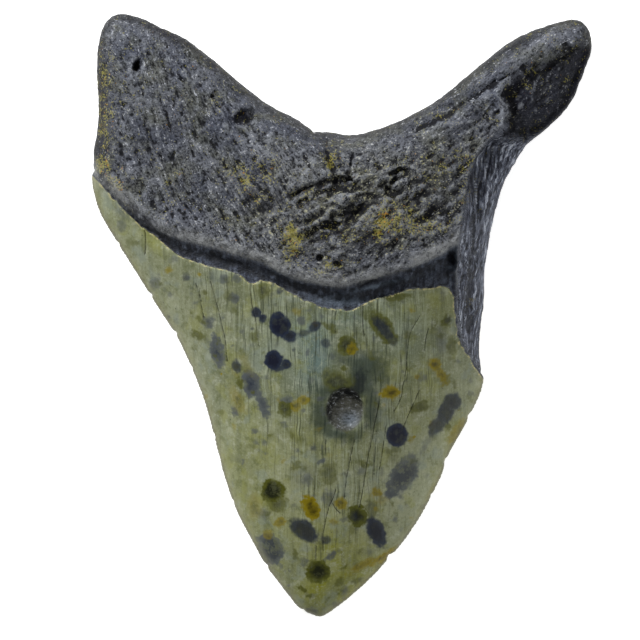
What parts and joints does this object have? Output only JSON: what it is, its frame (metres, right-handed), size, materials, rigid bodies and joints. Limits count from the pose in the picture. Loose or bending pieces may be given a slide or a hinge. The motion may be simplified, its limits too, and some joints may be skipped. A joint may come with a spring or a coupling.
{
  "type": "megalodon tooth",
  "caption": "Large fossil shark tooth lying on its flat face: a swollen two-lobed grey root, a dark band below it and a spotted green enamel crown with a blunt serrated edge.",
  "frame": {"origin": "the surface that the tooth lies on, under the middle of its outline's box", "axes": "+Z out of the lingual face, +Y from the crown's tip towards the root's lobes, +X to the right as seen from above with the root away from the viewer"},
  "size_m": [0.1099, 0.1326, 0.0252],
  "materials": {
    "fossil_tooth": "dull granular slate-grey root with ochre dust, and a semi-gloss mottled grey-green enamel crown with slate, olive and ochre spots"
  },
  "bodies": {
    "root": {"tooth": "fossil_tooth"}
  },
  "joints": []
}
